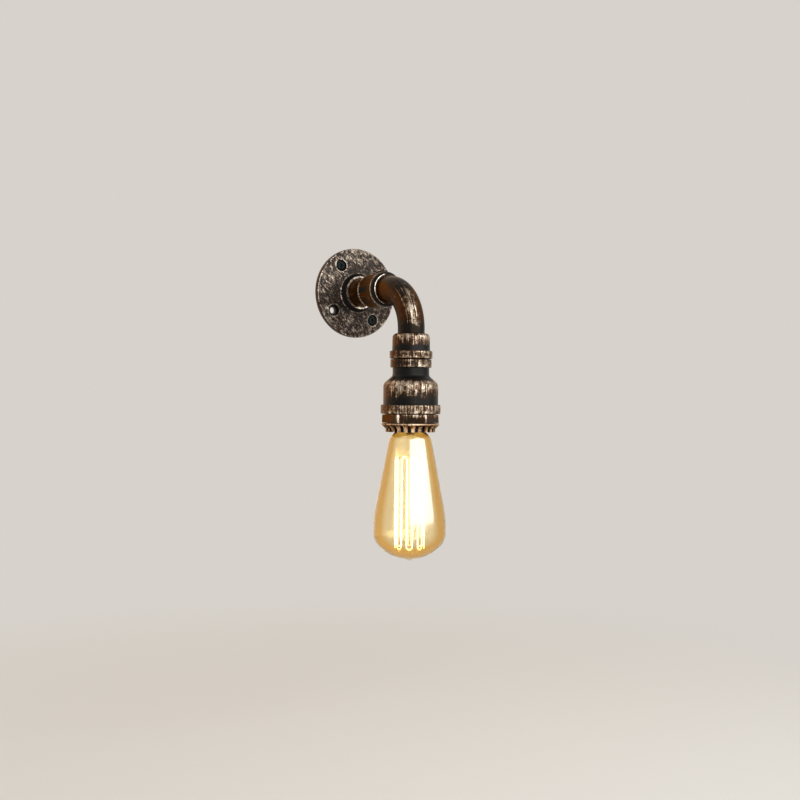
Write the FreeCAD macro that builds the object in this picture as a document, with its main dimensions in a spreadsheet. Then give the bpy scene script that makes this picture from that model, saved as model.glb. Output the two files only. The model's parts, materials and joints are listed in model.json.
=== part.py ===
import FreeCAD, Part
import math
import os
import Sketcher
from types import SimpleNamespace

from FreeCAD import Placement, Rotation, Vector

# Wall lamp of pipe fittings, in millimetres.
# The wall is the plane Y = 0, the arm stands out towards -Y, and +Z is up.
# The origin is the centre of the flange's back face.
# Heights of the hanging pieces are worked out as depths below the arm's axis.

SIZES = {
    # Wall flange
    "flange_dia": 84.0,
    "flange_rim": 4.2,
    "flange_rise": 3.0,
    "flange_edge": 1.0,
    "hub_base_dia": 35.6,
    "hub_dia": 31.4,
    "hub_front": 12.4,
    "hub_fillet": 2.5,
    "hub_edge": 0.6,
    "hole_circle": 61.0,
    "hole_turn": 34.5,
    "hole_count": 4,
    "hole_dia": 6.0,
    "seat_dia": 10.8,
    "seat_floor": 3.4,
    # Pipe and screwed joints
    "pipe_dia": 25.8,
    "pipe_bore": 19.6,
    "thread_gap": 0.15,
    "end_gap": 0.3,
    "stop_bore": 19.2,
    "fitting_edge": 0.8,
    # Arm
    "nipple_show": 18.8,
    "nipple_grip": 10.0,
    "coupling_dia": 30.6,
    "coupling_length": 23.4,
    "coupling_stop": 3.0,
    "flat_depth": 0.35,
    "flat_start": 2.5,
    "flat_length": 13.0,
    # Elbow
    "reach": 100.0,
    "bend_radius": 38.0,
    "elbow_dia": 23.8,
    "elbow_bore": 18.2,
    "inlet_bead_dia": 32.4,
    "inlet_bead_length": 6.2,
    "inlet_bead_round": 3.4,
    "bead_root": 1.0,
    "tail_show": 4.0,
    "tail_grip": 11.0,
    # Drop coupling and close nipple
    "collar_dia": 33.6,
    "collar_top_dia": 32.8,
    "collar_length": 22.3,
    "collar_round": 4.0,
    "upper_band_dia": 37.8,
    "upper_band_height": 6.8,
    "close_grip": 8.0,
    "close_show": 0.6,
    # Bell reducer
    "bell_length": 48.1,
    "lower_band_dia": 36.4,
    "lower_band_height": 7.3,
    "neck_dia": 32.4,
    "neck_corner_depth": 14.6,
    "neck_round": 4.0,
    "bell_dia": 48.6,
    "bell_corner_depth": 21.6,
    "bell_round": 5.5,
    "mouth_bead_dia": 53.0,
    "mouth_bead_height": 8.2,
    "mouth_bead_round": 1.2,
    "mouth_dia": 43.0,
    "roof_dia": 30.0,
    "roof_drop": 7.0,
    "partition_depth": 15.1,
    "partition": 3.5,
    "nut_room_dia": 21.0,
    # Hexagonal bushing
    "hex_flats": 43.6,
    "hex_height": 7.1,
    "bushing_land_dia": 45.2,
    "bushing_land": 0.6,
    "bushing_spigot": 9.0,
    "socket_room": 1.1,
    # Crown ring
    "crown_height": 8.2,
    "crown_dia": 43.8,
    "crown_band": 2.8,
    "lip_dia": 50.8,
    "lip_bottom": 6.2,
    "lip_top": 7.4,
    "lip_bevel": 0.5,
    "crown_land_dia": 42.0,
    "crown_land": 0.4,
    "crown_wall": 3.3,
    "crown_floor": 5.8,
    "crown_spigot": 6.0,
    "nose_room": 0.4,
    "slot_count": 22,
    "slot_turn": 5.3,
    "slot_width": 3.0,
    "slot_height": 5.4,
    "slot_depth": 1.6,
    "slot_margin": 1.0,
    # Lamp holder
    "tube_dia": 10.0,
    "tube_bore": 7.2,
    "tube_rise": 1.2,
    "nut_flats": 13.0,
    "nut_height": 3.0,
    "tag_dia": 14.0,
    "tag_sheet": 0.8,
    "tag_tail": 3.0,
    "barrel_dia": 2.2,
    "barrel_bore": 1.3,
    "barrel_height": 5.0,
    "bracket_side": 1.1,
    "bracket_past": 3.0,
    "bracket_sheet": 1.5,
    "bracket_round": 2.0,
    "boss_inset": 1.0,
    "boss_dia": 7.2,
    "boss_height": 7.0,
    "boss_hole_depth": 8.0,
    "nose_wall": 1.3,
    "socket_step": 1.9,
    "socket_web": 3.5,
    "socket_depth": 24.0,
    "socket_clear": 1.0,
    "socket_edge": 0.8,
    "shell_room": 0.15,
    "shell_sheet": 0.5,
    "shell_length": 20.0,
    "window_margin": 0.85,
    "tongue_drop": 1.8,
    "tongue_sheet": 0.5,
    "tongue_width": 5.0,
    "tongue_flat": 2.5,
    "tongue_bend": 4.0,
    "tongue_end": 8.2,
    "contact_gap": 0.3,
    "screw_dia": 3.0,
    "screw_gap": 0.15,
    "bracket_head_dia": 6.4,
    "bracket_head": 2.2,
    "bracket_screw_length": 7.5,
    "terminal_head_dia": 5.2,
    "terminal_head": 2.0,
    "terminal_screw_length": 5.8,
    "live_terminal": 6.25,
    "terminal_inset": 2.05,
    # Leads
    "lead_dia": 2.1,
    "core_dia": 1.0,
    "core_bare": 6.0,
    "core_inset": 1.0,
    "core_past": 2.5,
    "lead_side": 2.05,
    "lead_offset": 1.0,
    "earth_offset": 7.75,
    "earth_bare": 4.5,
    "lead_turn": 3.5,
    "strip_clear": 0.25,
    # Bulb
    "cap_dia": 26.3,
    "cap_sheet": 0.45,
    "cap_length": 24.0,
    "cap_round": 1.8,
    "cap_hole": 16.0,
    "cap_gap": 0.1,
    "cap_room": 0.4,
    "insulator_dia": 18.4,
    "insulator_top_dia": 10.4,
    "insulator_height": 1.8,
    "tip_dia": 9.4,
    "tip_height": 0.8,
    "tip_edge": 0.3,
    "bulb_length": 114.7,
    "bulb_dia": 64.0,
    "neck_gap": 0.15,
    "bulb_neck_grip": 9.0,
    "bulb_neck_show": 1.1,
    "bulb_neck_round": 2.0,
    "flank_taper": 13.8,
    "shoulder_drop": 5.8,
    "shoulder_round": 10.0,
    "flank_corner": 37.7,
    "flank_round": 118.0,
    "side_corner": 17.4,
    "side_round": 16.5,
    "dome_inset": 16.4,
    "least_run": 0.5,
    "pip_height": 1.3,
    "pip_dia": 4.6,
    "pip_round": 1.0,
    "glass_wall": 0.9,
    "stem_dia": 6.6,
    "stem_flare": 1.5,
    "stem_flare_height": 8.5,
    "stem_inset": 2.7,
    "stem_taper": 1.5,
    "stem_round": 4.0,
    "rod_dia": 2.4,
    "button_dia": 4.4,
    "button_height": 3.0,
    "cage_dia": 26.0,
    "cage_bottom": 10.5,
    "cage_length": 80.4,
    "strand_count": 16,
    "filament_dia": 0.7,
    "support_dia": 0.5,
    "lead_in_dia": 0.7,
    "lead_in_gap": 0.2,
    "lead_in_rise": 2.0,
    "hook_gap": 0.3,
}

SHEET = "Sizes"
HALF_TURN = 180.0
FULL_TURN = 360.0

document = FreeCAD.newDocument("WallLamp")


class Measure:
    """A size: its number, and the expression over the sheet that gives it."""

    def __init__(self, number, text):
        self.number = number
        self.text = text

    def joined(self, other, sign, number, swapped=False):
        texts = (as_measure(other).text, self.text) if swapped else (self.text, as_measure(other).text)
        return Measure(number, f"({texts[0]} {sign} {texts[1]})")

    def __add__(self, other):
        return self.joined(other, "+", self.number + as_measure(other).number)

    def __radd__(self, other):
        return self.joined(other, "+", as_measure(other).number + self.number, swapped=True)

    def __sub__(self, other):
        return self.joined(other, "-", self.number - as_measure(other).number)

    def __rsub__(self, other):
        return self.joined(other, "-", as_measure(other).number - self.number, swapped=True)

    def __mul__(self, other):
        return self.joined(other, "*", self.number * as_measure(other).number)

    def __rmul__(self, other):
        return self.joined(other, "*", as_measure(other).number * self.number, swapped=True)

    def __truediv__(self, other):
        return self.joined(other, "/", self.number / as_measure(other).number)

    def __neg__(self):
        return Measure(-self.number, f"(-1 * {self.text})")

    def root(self):
        return Measure(math.sqrt(self.number), f"sqrt({self.text})")


def as_measure(value):
    return value if isinstance(value, Measure) else Measure(float(value), repr(float(value)))


def least(first, second):
    return Measure(min(first.number, second.number), f"min({first.text}; {second.text})")


def fill_sheet():
    """Write each driving dimension in a cell with its name as alias, and return them by name."""
    sheet = document.addObject("Spreadsheet::Sheet", SHEET)
    named = {}
    for row, (name, number) in enumerate(SIZES.items(), 1):
        sheet.set(f"A{row}", name)
        sheet.set(f"B{row}", str(number))
        sheet.setAlias(f"B{row}", name)
        named[name] = Measure(float(number), f"{SHEET}.{name}")
    document.recompute()
    return SimpleNamespace(**named)


def derived(name, measure):
    """Give a worked-out size a cell of its own in the sheet, and return it by that name."""
    sheet = document.getObject(SHEET)
    row = len(sheet.getUsedCells()) // 2 + 1
    sheet.set(f"A{row}", name)
    sheet.set(f"B{row}", "=" + measure.text.replace(f"{SHEET}.", ""))
    sheet.setAlias(f"B{row}", name)
    return Measure(measure.number, f"{SHEET}.{name}")


def bind(target, path, value):
    target.setExpression(path, as_measure(value).text)


def new_body(name, x=0.0, y=0.0, z=0.0, turn=None):
    """Start a piece whose own origin stands at the given place."""
    body = document.addObject("PartDesign::Body", name)
    body.Label = name
    body.Placement = Placement(Vector(), turn or Rotation())
    for axis, value in (("x", x), ("y", y), ("z", z)):
        bind(body, f"Placement.Base.{axis}", value)
    return body


def arm_body(name):
    """A piece on the arm: its own Z points out of the wall, and its own Y points up."""
    return new_body(name, turn=Rotation(Vector(1, 0, 0), 90))


def drop_body(name, depth, x=0.0):
    """A piece on the vertical line at the arm's reach, with its origin at a depth below the arm."""
    return new_body(name, x=x, y=-size.reach, z=-depth)


def new_sketch(body, plane, shift=None, turn=None):
    """A sketch on one of the body's own planes, moved along its normal and turned about it."""
    sketch = body.newObject("Sketcher::SketchObject", f"{body.Name}_sketch")
    support = next(item for item in body.Origin.OriginFeatures if item.Role == plane)
    sketch.AttachmentSupport = [(support, "")]
    sketch.MapMode = "FlatFace"
    if shift is not None:
        bind(sketch, "AttachmentOffset.Base.z", shift)
    if turn is not None:
        sketch.AttachmentOffset = Placement(Vector(), Rotation(Vector(0, 0, 1), turn.number))
        bind(sketch, "AttachmentOffset.Rotation.Angle", turn)
    return sketch


def constrain(sketch, rules):
    """Add constraints, each with the size that drives it or None."""
    indices = sketch.addConstraint([rule for rule, value in rules])
    for index, (rule, value) in zip(indices, rules):
        if value is not None and SHEET in value.text:
            bind(sketch, f"Constraints[{index}]", value)


def placed(geometry, point, x, y):
    """The rules that hold a point of the sketch at its place; a plain zero is the axis itself."""
    x, y = as_measure(x), as_measure(y)
    rules = []
    for kind, axis, value in (("DistanceX", -2, x), ("DistanceY", -1, y)):
        if value.number == 0 and SHEET not in value.text:
            rules.append((Sketcher.Constraint("PointOnObject", geometry, point, axis), None))
        else:
            rules.append((Sketcher.Constraint(kind, -1, 1, geometry, point, value.number), value))
    return rules


def corner_arc(before, corner, after, radius):
    """A tangent arc at a corner, the points where it leaves the two runs, and whether it turns left."""
    back = (before - corner).normalize()
    ahead = (after - corner).normalize()
    half = back.getAngle(ahead) / 2
    incoming = corner + back * (radius / math.tan(half))
    outgoing = corner + ahead * (radius / math.tan(half))
    centre = corner + (back + ahead).normalize() * (radius / math.sin(half))
    left = back.cross(ahead).z < 0
    first, last = (incoming, outgoing) if left else (outgoing, incoming)
    angles = [math.atan2(end.y - centre.y, end.x - centre.x) for end in (first, last)]
    if angles[1] < angles[0]:
        angles[1] += 2 * math.pi
    arc = Part.ArcOfCircle(Part.Circle(centre, Vector(0, 0, 1), radius), *angles)
    return arc, incoming, outgoing, left


def outline(sketch, corners, closed=True):
    """Draw straight runs between corners (x, y) or (x, y, radius), with a tangent arc at each radius."""
    count = len(corners)
    points = [Vector(as_measure(c[0]).number, as_measure(c[1]).number, 0) for c in corners]
    leave, arrive, arcs = list(points), list(points), {}
    for i, corner in enumerate(corners):
        if len(corner) == 3:
            shaped = corner_arc(points[i - 1], points[i], points[(i + 1) % count], corner[2].number)
            arcs[i] = (shaped[0], shaped[3])
            arrive[i], leave[i] = shaped[1], shaped[2]
    runs = count if closed else count - 1
    lines = [Part.LineSegment(leave[i], arrive[(i + 1) % count]) for i in range(runs)]
    lines = sketch.addGeometry(lines, False)
    rules = []
    for i, corner in enumerate(corners):
        before = lines[i - 1] if closed or i > 0 else None
        after = lines[i] if i < runs else None
        if i in arcs:
            arc, left = arcs[i]
            arc = sketch.addGeometry(arc, False)
            mark = sketch.addGeometry(Part.Point(points[i]), True)
            ends = (1, 2) if left else (2, 1)
            rules.append((Sketcher.Constraint("Tangent", before, 2, arc, ends[0]), None))
            rules.append((Sketcher.Constraint("Tangent", arc, ends[1], after, 1), None))
            rules.append((Sketcher.Constraint("Radius", arc, corner[2].number), corner[2]))
            rules.append((Sketcher.Constraint("PointOnObject", mark, 1, before), None))
            rules.append((Sketcher.Constraint("PointOnObject", mark, 1, after), None))
            rules += placed(mark, 1, corner[0], corner[1])
        elif before is None or after is None:
            end = (after, 1) if before is None else (before, 2)
            rules += placed(*end, corner[0], corner[1])
        else:
            rules.append((Sketcher.Constraint("Coincident", before, 2, after, 1), None))
            rules += placed(after, 1, corner[0], corner[1])
    constrain(sketch, rules)


def inset(name, path, wall):
    """A path moved to its left by a wall: corners go along their bisectors, and arcs stay concentric."""
    lefts = []
    for i, ((x0, y0, *_), (x1, y1, *_)) in enumerate(zip(path, path[1:])):
        dx, dy = as_measure(x1) - x0, as_measure(y1) - y0
        length = derived(f"{name}_run_{i}", (dx * dx + dy * dy).root())
        lefts.append((-dy / length, dx / length))
    moved = []
    for i, (x, y, *rounding) in enumerate(path):
        before, after = lefts[max(i - 1, 0)], lefts[min(i, len(lefts) - 1)]
        share = derived(f"{name}_share_{i}", wall / (1 + before[0] * after[0] + before[1] * after[1]))
        turns_left = before[0].number * after[1].number > before[1].number * after[0].number
        moved.append((
            derived(f"{name}_across_{i}", x + share * (before[0] + after[0])),
            derived(f"{name}_along_{i}", y + share * (before[1] + after[1])),
            *(radius - wall if turns_left else radius + wall for radius in rounding)))
    return moved


def circle(sketch, diameter, x=0.0, y=0.0):
    radius = diameter / 2
    centre = Vector(as_measure(x).number, as_measure(y).number, 0)
    index = sketch.addGeometry(Part.Circle(centre, Vector(0, 0, 1), radius.number), False)
    rules = [(Sketcher.Constraint("Radius", index, radius.number), radius)]
    constrain(sketch, rules + placed(index, 3, x, y))


def revolve(body, corners, plane="XZ_Plane", axis="V_Axis"):
    """Turn a closed outline of (radius, height) corners into a solid of revolution."""
    sketch = new_sketch(body, plane)
    outline(sketch, corners)
    feature = body.newObject("PartDesign::Revolution", f"{body.Name}_turned")
    feature.Profile = (sketch, [""])
    feature.ReferenceAxis = (sketch, [axis])
    feature.Angle = FULL_TURN
    return feature


def pad(body, sketch, length, middle=False):
    feature = body.newObject("PartDesign::Pad", f"{body.Name}_pad")
    feature.Profile = (sketch, [""])
    feature.Midplane = middle
    bind(feature, "Length", length)
    return feature


def pocket(body, sketch, length, upwards=False):
    feature = body.newObject("PartDesign::Pocket", f"{body.Name}_pocket")
    feature.Profile = (sketch, [""])
    feature.Reversed = upwards
    bind(feature, "Length", length)
    return feature


def polar(body, feature, count):
    """Repeat a feature round the body's own Z."""
    pattern = body.newObject("PartDesign::PolarPattern", f"{body.Name}_pattern")
    pattern.Originals = [feature]
    axis = next(item for item in body.Origin.OriginFeatures if item.Role == "Z_Axis")
    pattern.Axis = (axis, [""])
    pattern.Angle = FULL_TURN
    bind(pattern, "Occurrences", count)
    body.Tip = pattern
    return pattern


def pipe(body, corners, diameter, bore=None):
    """Sweep a round section along a path in the body's YZ plane, which starts along Y."""
    spine = new_sketch(body, "YZ_Plane")
    outline(spine, corners, closed=False)
    section = new_sketch(body, "XZ_Plane", shift=-corners[0][0])
    circle(section, diameter, 0.0, corners[0][1])
    if bore is not None:
        circle(section, bore, 0.0, corners[0][1])
    feature = body.newObject("PartDesign::AdditivePipe", f"{body.Name}_tube")
    feature.Profile = (section, [""])
    feature.Spine = (spine, [])
    return feature


def hexagon(flats, turned=False):
    """Corners of a hexagon about the origin: flats face X, or Y when it is turned."""
    far = flats / math.sqrt(3)
    near = far / 2
    half = flats / 2
    corners = [(half, -near), (half, near), (0.0, far), (-half, near), (-half, -near), (0.0, -far)]
    return [(y, x) for x, y in reversed(corners)] if turned else corners


def rod(name, diameter, length, x, y, z, turn=None):
    """A plain round bar along Z, or along its own turned Z."""
    bar = document.addObject("Part::Cylinder", name)
    bar.Placement = Placement(Vector(), turn or Rotation())
    bind(bar, "Radius", diameter / 2)
    bind(bar, "Height", length)
    for axis, value in (("x", x), ("y", y), ("z", z)):
        bind(bar, f"Placement.Base.{axis}", value)
    return bar


def group(name, members):
    """Several like solids under one name."""
    bundle = document.addObject("Part::Compound", name)
    bundle.Label = name
    bundle.Links = members
    return bundle


def screw(name, head_dia, head, length, x, y, depth):
    """A screw whose head sits on a seat at a depth and whose shank points down."""
    top = rod(f"{name}_head", head_dia, head, x, y, -depth)
    shank = rod(f"{name}_shank", size.screw_dia, length, x, y, -depth - length)
    joined = document.addObject("Part::Fuse", name)
    joined.Base = top
    joined.Tool = shank
    return joined


size = fill_sheet()

# Places along the arm, measured out of the wall
coupling_start = size.hub_front + size.nipple_show
coupling_end = coupling_start + size.coupling_length
nipple_start = size.hub_front - size.nipple_grip
nipple_end = coupling_start + size.nipple_grip
coupling_stop_near = nipple_end + size.end_gap
coupling_stop_far = coupling_stop_near + size.coupling_stop
spigot_start = coupling_stop_far + size.end_gap
bead_front = coupling_end + size.inlet_bead_length

# Depths down the drop, measured below the arm's axis
collar_top = size.bend_radius + size.tail_show
collar_end = collar_top + size.collar_length
bell_top = collar_end + size.close_show
bell_end = bell_top + size.bell_length
hex_end = bell_end + size.bushing_land + size.hex_height
crown_end = hex_end + size.crown_height
partition_top = bell_top + size.partition_depth
partition_end = partition_top + size.partition
bracket_top = partition_end + size.nut_height
bracket_end = bracket_top + size.bracket_sheet
socket_top = bracket_end + size.boss_height
socket_roof = socket_top + size.socket_web
socket_end = socket_roof + size.socket_depth
shell_end = socket_roof + size.shell_length
tongue_end = socket_roof + size.tongue_drop
tip_top = tongue_end + size.contact_gap
tip_end = tip_top + size.tip_height
insulator_end = tip_end + size.insulator_height
cap_top = insulator_end + size.cap_gap
cap_end = cap_top + size.cap_length
bulb_end = cap_end + size.bulb_length
tag_top = partition_top - size.tag_sheet
upper_nut_top = tag_top - size.nut_height
tube_top = upper_nut_top - size.tube_rise
tail_end = collar_top + size.tail_grip
lead_depth = socket_top - size.lead_dia / 2

# Bores that take a screwed joint
pipe_seat = size.pipe_dia / 2 + size.thread_gap
elbow_seat = size.elbow_dia / 2 + size.thread_gap
stop_radius = size.stop_bore / 2
tube_seat = size.tube_dia + 2 * size.thread_gap
screw_hole = size.screw_dia + 2 * size.screw_gap

# Radii outwards from the bulb's cap: the brass shell, the porcelain, and the bores round the porcelain
shell_inner = size.cap_dia / 2 + size.cap_room
shell_outer = shell_inner + size.shell_sheet
cavity_radius = shell_outer + size.shell_room
nose_radius = cavity_radius + size.nose_wall
socket_radius = nose_radius + size.socket_step
crown_bore = nose_radius + size.nose_room
bushing_bore = socket_radius + size.socket_room
neck_radius = size.cap_dia / 2 - size.cap_sheet - size.neck_gap
neutral_terminal = shell_inner - size.terminal_inset
boss_offset = socket_radius - size.socket_edge - size.boss_inset - size.boss_dia / 2


def make_wall_flange():
    """A dished round flange with a filleted hub, bored for the pipe and drilled for wall screws."""
    body = arm_body("wall_flange")
    revolve(body, [
        (pipe_seat, 0.0),
        (size.flange_dia / 2, 0.0),
        (size.flange_dia / 2, size.flange_rim, size.flange_edge),
        (size.hub_base_dia / 2, size.flange_rim + size.flange_rise, size.hub_fillet),
        (size.hub_dia / 2, size.hub_front, size.hub_edge),
        (pipe_seat, size.hub_front),
    ])
    for diameter, floor in ((size.hole_dia, 0.0), (size.seat_dia, size.seat_floor)):
        sketch = new_sketch(body, "XY_Plane", shift=as_measure(floor), turn=size.hole_turn)
        circle(sketch, diameter, size.hole_circle / 2, 0.0)
        polar(body, pocket(body, sketch, size.hub_front, upwards=True), size.hole_count)
    return body


def make_tube(body, diameter, bore, start, end):
    revolve(body, [(bore / 2, start), (diameter / 2, start), (diameter / 2, end), (bore / 2, end)])
    return body


def make_arm_nipple():
    return make_tube(arm_body("arm_nipple"), size.pipe_dia, size.pipe_bore, nipple_start, nipple_end)


def make_arm_coupling():
    """A barrel with a stop between its two sockets and a pair of wrench flats."""
    body = arm_body("arm_coupling")
    outer = size.coupling_dia / 2
    edge = least(size.fitting_edge, (outer - pipe_seat) / 2)
    revolve(body, [
        (pipe_seat, coupling_start),
        (outer, coupling_start, edge),
        (outer, coupling_end, edge),
        (elbow_seat, coupling_end),
        (elbow_seat, coupling_stop_far),
        (stop_radius, coupling_stop_far),
        (stop_radius, coupling_stop_near),
        (pipe_seat, coupling_stop_near),
    ])
    sketch = new_sketch(body, "XY_Plane", shift=coupling_start + size.flat_start)
    flat = outer - size.flat_depth
    outline(sketch, [(flat, -outer), (2 * outer, -outer), (2 * outer, outer), (flat, outer)])
    polar(body, pocket(body, sketch, size.flat_length, upwards=True), as_measure(2))
    return body


def make_elbow():
    """A long-sweep bend with a bead that seats on the coupling; its origin is where the axes cross."""
    body = drop_body("elbow", as_measure(0.0))
    pipe(body, [
        (size.reach - spigot_start, 0.0),
        (0.0, 0.0, size.bend_radius),
        (0.0, -tail_end),
    ], size.elbow_dia, size.elbow_bore)
    root = size.elbow_dia / 2 - size.bead_root
    revolve(body, [
        (size.reach - bead_front, root),
        (size.reach - coupling_end, root),
        (size.reach - coupling_end, size.inlet_bead_dia / 2, size.fitting_edge),
        (size.reach - bead_front, size.inlet_bead_dia / 2, size.inlet_bead_round),
    ], plane="YZ_Plane", axis="H_Axis")
    return body


def make_drop_coupling():
    """A coupling with a rounded shoulder round the elbow's tail and a bead at its foot."""
    body = drop_body("drop_coupling", collar_end)
    nipple_stop = size.close_grip + size.end_gap
    tail_stop = size.collar_length - size.tail_grip - size.end_gap
    shoulder = least(size.collar_round, size.collar_top_dia / 2 - elbow_seat - size.end_gap)
    revolve(body, [
        (pipe_seat, 0.0),
        (size.upper_band_dia / 2, 0.0, size.fitting_edge),
        (size.upper_band_dia / 2, size.upper_band_height, size.fitting_edge),
        (size.collar_dia / 2, size.upper_band_height),
        (size.collar_top_dia / 2, size.collar_length, shoulder),
        (elbow_seat, size.collar_length),
        (elbow_seat, tail_stop),
        (stop_radius, tail_stop),
        (stop_radius, nipple_stop),
        (pipe_seat, nipple_stop),
    ])
    return body


def make_close_nipple():
    body = drop_body("close_nipple", bell_top + size.tail_grip)
    length = size.tail_grip + size.close_show + size.close_grip
    return make_tube(body, size.pipe_dia, size.pipe_bore, as_measure(0.0), length)


def make_bell_reducer():
    """A bead, a neck that flares into a bell, a mouth bead, and a pierced partition inside."""
    body = drop_body("bell_reducer", bell_end)
    nipple_stop = size.bell_length - size.tail_grip - size.end_gap
    floor = size.bell_length - size.partition_depth
    roof = floor - size.partition
    revolve(body, [
        (size.mouth_dia / 2, 0.0),
        (size.mouth_bead_dia / 2, 0.0, size.mouth_bead_round),
        (size.mouth_bead_dia / 2, size.mouth_bead_height, size.mouth_bead_round),
        (size.bell_dia / 2, size.mouth_bead_height),
        (size.bell_dia / 2, size.bell_length - size.bell_corner_depth, size.bell_round),
        (size.neck_dia / 2, size.bell_length - size.neck_corner_depth, size.neck_round),
        (size.neck_dia / 2, size.bell_length - size.lower_band_height),
        (size.lower_band_dia / 2, size.bell_length - size.lower_band_height, size.fitting_edge),
        (size.lower_band_dia / 2, size.bell_length, size.fitting_edge),
        (pipe_seat, size.bell_length),
        (pipe_seat, nipple_stop),
        (size.nut_room_dia / 2, nipple_stop),
        (size.nut_room_dia / 2, floor),
        (tube_seat / 2, floor),
        (tube_seat / 2, roof),
        (size.roof_dia / 2, roof),
        (size.mouth_dia / 2, roof - size.roof_drop),
    ])
    return body


def make_hex_bushing():
    """A hexagon that seats on the bell's mouth by a narrow land, with a spigot up into the bell."""
    body = drop_body("hex_bushing", hex_end)
    sketch = new_sketch(body, "XY_Plane")
    outline(sketch, hexagon(size.hex_flats))
    circle(sketch, 2 * bushing_bore)
    pad(body, sketch, size.hex_height)
    land_top = size.hex_height + size.bushing_land
    spigot = size.mouth_dia / 2 - size.thread_gap
    revolve(body, [
        (bushing_bore, size.hex_height),
        (size.bushing_land_dia / 2, size.hex_height),
        (size.bushing_land_dia / 2, land_top),
        (spigot, land_top),
        (spigot, land_top + size.bushing_spigot),
        (bushing_bore, land_top + size.bushing_spigot),
    ])
    return body


def make_crown_ring():
    """A lipped ring whose tapered skirt is notched into a crown of teeth, with a spigot up into the bushing."""
    body = drop_body("crown_ring", crown_end)
    spigot = bushing_bore - size.thread_gap
    inner = size.crown_dia / 2 - size.crown_wall
    land_foot = size.crown_height - size.crown_land
    revolve(body, [
        (inner, 0.0),
        (size.crown_dia / 2, 0.0),
        (size.crown_dia / 2, size.crown_band),
        (size.lip_dia / 2, size.lip_bottom),
        (size.lip_dia / 2, size.lip_top),
        (size.lip_dia / 2 - size.lip_bevel, land_foot),
        (size.crown_land_dia / 2, land_foot),
        (size.crown_land_dia / 2, size.crown_height),
        (spigot, size.crown_height),
        (spigot, size.crown_height + size.crown_spigot),
        (crown_bore, size.crown_height + size.crown_spigot),
        (crown_bore, size.crown_floor),
        (inner, size.crown_floor),
    ])
    sketch = new_sketch(body, "XY_Plane", turn=size.slot_turn)
    near, far = size.crown_dia / 2 - size.slot_depth, size.lip_dia / 2 + size.slot_margin
    half = size.slot_width / 2
    outline(sketch, [(near, -half), (far, -half), (far, half), (near, half)])
    polar(body, pocket(body, sketch, size.slot_height, upwards=True), size.slot_count)
    return body


def make_socket_body():
    """A porcelain cup with a stepped nose, two bosses for the strap, and holes for the terminals."""
    body = drop_body("socket_body", socket_end)
    step = socket_end - (hex_end - size.crown_spigot - size.socket_clear)
    top = size.socket_depth + size.socket_web
    revolve(body, [
        (cavity_radius, 0.0),
        (nose_radius, 0.0),
        (nose_radius, step),
        (socket_radius, step, size.socket_edge),
        (socket_radius, top, size.socket_edge),
        (0.0, top),
        (0.0, size.socket_depth),
        (cavity_radius, size.socket_depth),
    ])
    sketch = new_sketch(body, "XY_Plane", shift=top)
    for side in (-1, 1):
        circle(sketch, size.boss_dia, side * boss_offset, 0.0)
    pad(body, sketch, size.boss_height)
    sketch = new_sketch(body, "XY_Plane", shift=top + size.boss_height)
    for side in (-1, 1):
        circle(sketch, screw_hole, side * boss_offset, 0.0)
    pocket(body, sketch, size.boss_hole_depth)
    sketch = new_sketch(body, "XY_Plane", shift=top)
    circle(sketch, screw_hole, 0.0, size.live_terminal)
    circle(sketch, screw_hole, 0.0, -neutral_terminal)
    pocket(body, sketch, size.socket_web)
    return body


def make_screw_shell():
    """A brass cup without a floor, pierced for the neutral terminal."""
    body = drop_body("screw_shell", shell_end)
    window = neutral_terminal - screw_hole / 2 - size.window_margin
    revolve(body, [
        (shell_inner, 0.0),
        (shell_outer, 0.0),
        (shell_outer, size.shell_length),
        (window, size.shell_length),
        (window, size.shell_length - size.shell_sheet),
        (shell_inner, size.shell_length - size.shell_sheet),
    ])
    sketch = new_sketch(body, "XY_Plane", shift=size.shell_length)
    circle(sketch, screw_hole, 0.0, -neutral_terminal)
    pocket(body, sketch, size.shell_sheet)
    return body


def make_centre_contact():
    """A bent spring tongue: its foot lies on the socket's roof and its flat meets the bulb's tip."""
    body = drop_body("centre_contact", tongue_end)
    sketch = new_sketch(body, "YZ_Plane")
    foot = size.tongue_drop - size.tongue_sheet
    outline(sketch, [
        (-size.tongue_flat, 0.0),
        (size.tongue_flat, 0.0),
        (size.tongue_bend, foot),
        (size.tongue_end, foot),
        (size.tongue_end, size.tongue_drop),
        (size.tongue_bend - size.tongue_sheet / 2, size.tongue_drop),
        (size.tongue_flat - size.tongue_sheet / 2, size.tongue_sheet),
        (-size.tongue_flat, size.tongue_sheet),
    ])
    pad(body, sketch, size.tongue_width, middle=True)
    sketch = new_sketch(body, "XY_Plane", shift=size.tongue_drop)
    circle(sketch, screw_hole, 0.0, size.live_terminal)
    pocket(body, sketch, size.tongue_sheet)
    return body


def make_terminal_screws():
    seat = lead_depth - size.core_dia / 2
    places = (("live_screw", size.live_terminal), ("neutral_screw", -neutral_terminal))
    return group("terminal_screws", [
        screw(name, size.terminal_head_dia, size.terminal_head, size.terminal_screw_length,
              0.0, along - size.reach, seat)
        for name, along in places])


def make_socket_bracket():
    """A flat strap on the tube, with a screw hole over each boss."""
    body = drop_body("socket_bracket", bracket_end)
    sketch = new_sketch(body, "XY_Plane")
    far, half, bend = boss_offset + size.bracket_past, tube_seat / 2 + size.bracket_side, size.bracket_round
    outline(sketch, [(-far, -half, bend), (far, -half, bend), (far, half, bend), (-far, half, bend)])
    circle(sketch, tube_seat)
    for side in (-1, 1):
        circle(sketch, screw_hole, side * boss_offset, 0.0)
    pad(body, sketch, size.bracket_sheet)
    return body


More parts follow.
